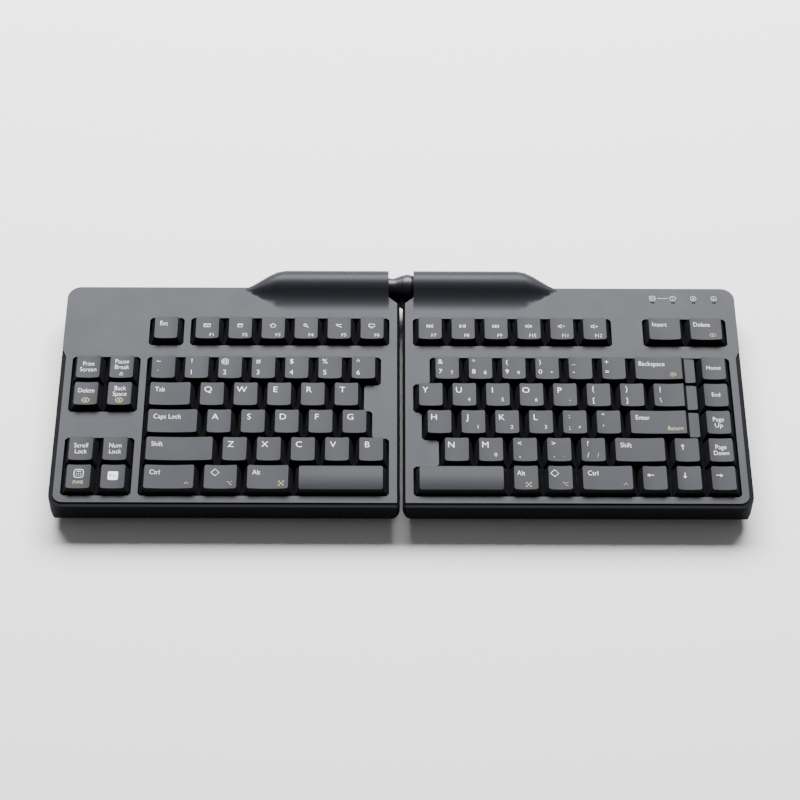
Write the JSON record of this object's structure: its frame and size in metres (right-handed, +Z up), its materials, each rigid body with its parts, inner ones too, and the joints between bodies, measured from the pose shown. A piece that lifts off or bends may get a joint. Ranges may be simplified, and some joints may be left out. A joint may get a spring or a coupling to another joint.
{
  "type": "split ergonomic keyboard",
  "caption": "Split keyboard in two halves that a ball joint behind the rear edge holds together; each half carries blocks of sculpted keys in a low tray and can splay and tent.",
  "frame": {"origin": "middle of the bounding box's base, on the desk under the feet", "axes": "+X along the keyboard to the user's right, +Y away from the user towards the hump and the ball joint, +Z up"},
  "size_m": [0.3906, 0.1667, 0.0274],
  "materials": {
    "keycap": "satin moulded ABS, mid grey top",
    "cover": "satin moulded ABS, mid grey",
    "case": "satin moulded ABS, black",
    "frame": "matt moulded, black",
    "plate_steel": "plain steel sheet",
    "fastener_steel": "turned steel",
    "film": "printed polyester film",
    "silicone": "moulded silicone",
    "rubber": "matt rubber",
    "nylon": "natural nylon",
    "lens": "smoked light guide",
    "board": "solder masked circuit board"
  },
  "bodies": {
    "left_half": {"left_backplate": "plate_steel", "left_base_case": "case", "left_dome_sheet": "silicone", "left_feet": "rubber", "left_key_frame": "frame", "left_membrane": "film", "left_screws": "fastener_steel", "left_top_cover": "cover", "ball_stud": "fastener_steel"},
    "ball_race": {"socket_liner": "nylon"},
    "right_half": {"right_backplate": "plate_steel", "right_base_case": "case", "right_dome_sheet": "silicone", "right_feet": "rubber", "right_key_frame": "frame", "right_membrane": "film", "right_screws": "fastener_steel", "right_top_cover": "cover", "lever_pin": "fastener_steel", "status_lights": "lens", "controller_board": "board", "cable_gland": "rubber"},
    "lock_lever": {"lock_lever": "case"},
    "key_escape_body": {"key_escape": "keycap"},
    "keys_left_function_row_body": {"keys_left_function_row": "keycap"},
    "keys_left_number_row_body": {"keys_left_number_row": "keycap"},
    "key_tab_body": {"key_tab": "keycap"},
    "keys_left_upper_letters_body": {"keys_left_upper_letters": "keycap"},
    "key_caps_lock_body": {"key_caps_lock": "keycap"},
    "keys_left_home_letters_body": {"keys_left_home_letters": "keycap"},
    "key_left_shift_body": {"key_left_shift": "keycap"},
    "keys_left_lower_letters_body": {"keys_left_lower_letters": "keycap"},
    "key_left_control_body": {"key_left_control": "keycap"},
    "key_left_system_body": {"key_left_system": "keycap"},
    "key_left_alt_body": {"key_left_alt": "keycap"},
    "key_left_space_body": {"key_left_space": "keycap"},
    "keys_upper_cluster_body": {"keys_upper_cluster": "keycap"},
    "keys_lower_cluster_body": {"keys_lower_cluster": "keycap"},
    "key_arrow_down_body": {"key_arrow_down": "keycap"},
    "key_arrow_left_body": {"key_arrow_left": "keycap"},
    "key_arrow_right_body": {"key_arrow_right": "keycap"},
    "key_arrow_up_body": {"key_arrow_up": "keycap"},
    "key_backslash_body": {"key_backslash": "keycap"},
    "key_backspace_body": {"key_backspace": "keycap"},
    "key_delete_body": {"key_delete": "keycap"},
    "key_enter_body": {"key_enter": "keycap"},
    "key_insert_body": {"key_insert": "keycap"},
    "key_right_alt_body": {"key_right_alt": "keycap"},
    "key_right_control_body": {"key_right_control": "keycap"},
    "key_right_shift_body": {"key_right_shift": "keycap"},
    "key_right_space_body": {"key_right_space": "keycap"},
    "key_right_system_body": {"key_right_system": "keycap"},
    "keys_navigation_body": {"keys_navigation": "keycap"},
    "keys_right_function_row_body": {"keys_right_function_row": "keycap"},
    "keys_right_home_letters_body": {"keys_right_home_letters": "keycap"},
    "keys_right_lower_letters_body": {"keys_right_lower_letters": "keycap"},
    "keys_right_number_row_body": {"keys_right_number_row": "keycap"},
    "keys_right_upper_letters_body": {"keys_right_upper_letters": "keycap"}
  },
  "joints": [
    {"name": "splay", "type": "hinge", "parent": "left_half", "child": "ball_race", "pos_m": [0.0042, 0.07335, 0.0175], "axis": [0, 0, 1], "range_deg": [0, 30]},
    {"name": "tent", "type": "hinge", "parent": "ball_race", "child": "right_half", "pos_m": [0.0042, 0.07335, 0.0175], "axis": [0, 1, 0], "range_deg": [0, 30]},
    {"name": "lock_lever_swing", "type": "hinge", "parent": "right_half", "child": "lock_lever", "pos_m": [0.02, 0.076, 0.01275], "axis": [0, 0, 1], "range_deg": [0, 60]},
    {"name": "key_escape_press", "type": "slide", "parent": "left_half", "child": "key_escape_body", "axis": [0, 0, -1], "range_m": [0, 0.0034], "stiffness_N_per_m": 150, "springref_m": -0.002, "deforming": ["left_dome_sheet"]},
    {"name": "keys_left_function_row_press", "type": "slide", "parent": "left_half", "child": "keys_left_function_row_body", "axis": [0, 0, -1], "range_m": [0, 0.0034], "stiffness_N_per_m": 900, "springref_m": -0.002, "deforming": ["left_dome_sheet"]},
    {"name": "keys_left_number_row_press", "type": "slide", "parent": "left_half", "child": "keys_left_number_row_body", "axis": [0, 0, -1], "range_m": [0, 0.0034], "stiffness_N_per_m": 1050, "springref_m": -0.002, "deforming": ["left_dome_sheet"]},
    {"name": "key_tab_press", "type": "slide", "parent": "left_half", "child": "key_tab_body", "axis": [0, 0, -1], "range_m": [0, 0.0034], "stiffness_N_per_m": 150, "springref_m": -0.002, "deforming": ["left_dome_sheet"]},
    {"name": "keys_left_upper_letters_press", "type": "slide", "parent": "left_half", "child": "keys_left_upper_letters_body", "axis": [0, 0, -1], "range_m": [0, 0.0034], "stiffness_N_per_m": 750, "springref_m": -0.002, "deforming": ["left_dome_sheet"]},
    {"name": "key_caps_lock_press", "type": "slide", "parent": "left_half", "child": "key_caps_lock_body", "axis": [0, 0, -1], "range_m": [0, 0.0034], "stiffness_N_per_m": 150, "springref_m": -0.002, "deforming": ["left_dome_sheet"]},
    {"name": "keys_left_home_letters_press", "type": "slide", "parent": "left_half", "child": "keys_left_home_letters_body", "axis": [0, 0, -1], "range_m": [0, 0.0034], "stiffness_N_per_m": 750, "springref_m": -0.002, "deforming": ["left_dome_sheet"]},
    {"name": "key_left_shift_press", "type": "slide", "parent": "left_half", "child": "key_left_shift_body", "axis": [0, 0, -1], "range_m": [0, 0.0034], "stiffness_N_per_m": 150, "springref_m": -0.002, "deforming": ["left_dome_sheet"]},
    {"name": "keys_left_lower_letters_press", "type": "slide", "parent": "left_half", "child": "keys_left_lower_letters_body", "axis": [0, 0, -1], "range_m": [0, 0.0034], "stiffness_N_per_m": 750, "springref_m": -0.002, "deforming": ["left_dome_sheet"]},
    {"name": "key_left_control_press", "type": "slide", "parent": "left_half", "child": "key_left_control_body", "axis": [0, 0, -1], "range_m": [0, 0.0034], "stiffness_N_per_m": 150, "springref_m": -0.002, "deforming": ["left_dome_sheet"]},
    {"name": "key_left_system_press", "type": "slide", "parent": "left_half", "child": "key_left_system_body", "axis": [0, 0, -1], "range_m": [0, 0.0034], "stiffness_N_per_m": 150, "springref_m": -0.002, "deforming": ["left_dome_sheet"]},
    {"name": "key_left_alt_press", "type": "slide", "parent": "left_half", "child": "key_left_alt_body", "axis": [0, 0, -1], "range_m": [0, 0.0034], "stiffness_N_per_m": 150, "springref_m": -0.002, "deforming": ["left_dome_sheet"]},
    {"name": "key_left_space_press", "type": "slide", "parent": "left_half", "child": "key_left_space_body", "axis": [0, 0, -1], "range_m": [0, 0.0034], "stiffness_N_per_m": 150, "springref_m": -0.002, "deforming": ["left_dome_sheet"]},
    {"name": "keys_upper_cluster_press", "type": "slide", "parent": "left_half", "child": "keys_upper_cluster_body", "axis": [0, 0, -1], "range_m": [0, 0.0034], "stiffness_N_per_m": 600, "springref_m": -0.002, "deforming": ["left_dome_sheet"]},
    {"name": "keys_lower_cluster_press", "type": "slide", "parent": "left_half", "child": "keys_lower_cluster_body", "axis": [0, 0, -1], "range_m": [0, 0.0034], "stiffness_N_per_m": 600, "springref_m": -0.002, "deforming": ["left_dome_sheet"]},
    {"name": "key_arrow_down_press", "type": "slide", "parent": "right_half", "child": "key_arrow_down_body", "axis": [0, 0, -1], "range_m": [0, 0.0034], "stiffness_N_per_m": 150, "springref_m": -0.002, "deforming": ["right_dome_sheet"]},
    {"name": "key_arrow_left_press", "type": "slide", "parent": "right_half", "child": "key_arrow_left_body", "axis": [0, 0, -1], "range_m": [0, 0.0034], "stiffness_N_per_m": 150, "springref_m": -0.002, "deforming": ["right_dome_sheet"]},
    {"name": "key_arrow_right_press", "type": "slide", "parent": "right_half", "child": "key_arrow_right_body", "axis": [0, 0, -1], "range_m": [0, 0.0034], "stiffness_N_per_m": 150, "springref_m": -0.002, "deforming": ["right_dome_sheet"]},
    {"name": "key_arrow_up_press", "type": "slide", "parent": "right_half", "child": "key_arrow_up_body", "axis": [0, 0, -1], "range_m": [0, 0.0034], "stiffness_N_per_m": 150, "springref_m": -0.002, "deforming": ["right_dome_sheet"]},
    {"name": "key_backslash_press", "type": "slide", "parent": "right_half", "child": "key_backslash_body", "axis": [0, 0, -1], "range_m": [0, 0.0034], "stiffness_N_per_m": 150, "springref_m": -0.002, "deforming": ["right_dome_sheet"]},
    {"name": "key_backspace_press", "type": "slide", "parent": "right_half", "child": "key_backspace_body", "axis": [0, 0, -1], "range_m": [0, 0.0034], "stiffness_N_per_m": 150, "springref_m": -0.002, "deforming": ["right_dome_sheet"]},
    {"name": "key_delete_press", "type": "slide", "parent": "right_half", "child": "key_delete_body", "axis": [0, 0, -1], "range_m": [0, 0.0034], "stiffness_N_per_m": 150, "springref_m": -0.002, "deforming": ["right_dome_sheet"]},
    {"name": "key_enter_press", "type": "slide", "parent": "right_half", "child": "key_enter_body", "axis": [0, 0, -1], "range_m": [0, 0.0034], "stiffness_N_per_m": 150, "springref_m": -0.002, "deforming": ["right_dome_sheet"]},
    {"name": "key_insert_press", "type": "slide", "parent": "right_half", "child": "key_insert_body", "axis": [0, 0, -1], "range_m": [0, 0.0034], "stiffness_N_per_m": 150, "springref_m": -0.002, "deforming": ["right_dome_sheet"]},
    {"name": "key_right_alt_press", "type": "slide", "parent": "right_half", "child": "key_right_alt_body", "axis": [0, 0, -1], "range_m": [0, 0.0034], "stiffness_N_per_m": 150, "springref_m": -0.002, "deforming": ["right_dome_sheet"]},
    {"name": "key_right_control_press", "type": "slide", "parent": "right_half", "child": "key_right_control_body", "axis": [0, 0, -1], "range_m": [0, 0.0034], "stiffness_N_per_m": 150, "springref_m": -0.002, "deforming": ["right_dome_sheet"]},
    {"name": "key_right_shift_press", "type": "slide", "parent": "right_half", "child": "key_right_shift_body", "axis": [0, 0, -1], "range_m": [0, 0.0034], "stiffness_N_per_m": 150, "springref_m": -0.002, "deforming": ["right_dome_sheet"]},
    {"name": "key_right_space_press", "type": "slide", "parent": "right_half", "child": "key_right_space_body", "axis": [0, 0, -1], "range_m": [0, 0.0034], "stiffness_N_per_m": 150, "springref_m": -0.002, "deforming": ["right_dome_sheet"]},
    {"name": "key_right_system_press", "type": "slide", "parent": "right_half", "child": "key_right_system_body", "axis": [0, 0, -1], "range_m": [0, 0.0034], "stiffness_N_per_m": 150, "springref_m": -0.002, "deforming": ["right_dome_sheet"]},
    {"name": "keys_navigation_press", "type": "slide", "parent": "right_half", "child": "keys_navigation_body", "axis": [0, 0, -1], "range_m": [0, 0.0034], "stiffness_N_per_m": 600, "springref_m": -0.002, "deforming": ["right_dome_sheet"]},
    {"name": "keys_right_function_row_press", "type": "slide", "parent": "right_half", "child": "keys_right_function_row_body", "axis": [0, 0, -1], "range_m": [0, 0.0034], "stiffness_N_per_m": 900, "springref_m": -0.002, "deforming": ["right_dome_sheet"]},
    {"name": "keys_right_home_letters_press", "type": "slide", "parent": "right_half", "child": "keys_right_home_letters_body", "axis": [0, 0, -1], "range_m": [0, 0.0034], "stiffness_N_per_m": 900, "springref_m": -0.002, "deforming": ["right_dome_sheet"]},
    {"name": "keys_right_lower_letters_press", "type": "slide", "parent": "right_half", "child": "keys_right_lower_letters_body", "axis": [0, 0, -1], "range_m": [0, 0.0034], "stiffness_N_per_m": 750, "springref_m": -0.002, "deforming": ["right_dome_sheet"]},
    {"name": "keys_right_number_row_press", "type": "slide", "parent": "right_half", "child": "keys_right_number_row_body", "axis": [0, 0, -1], "range_m": [0, 0.0034], "stiffness_N_per_m": 900, "springref_m": -0.002, "deforming": ["right_dome_sheet"]},
    {"name": "keys_right_upper_letters_press", "type": "slide", "parent": "right_half", "child": "keys_right_upper_letters_body", "axis": [0, 0, -1], "range_m": [0, 0.0034], "stiffness_N_per_m": 1050, "springref_m": -0.002, "deforming": ["right_dome_sheet"]}
  ]
}
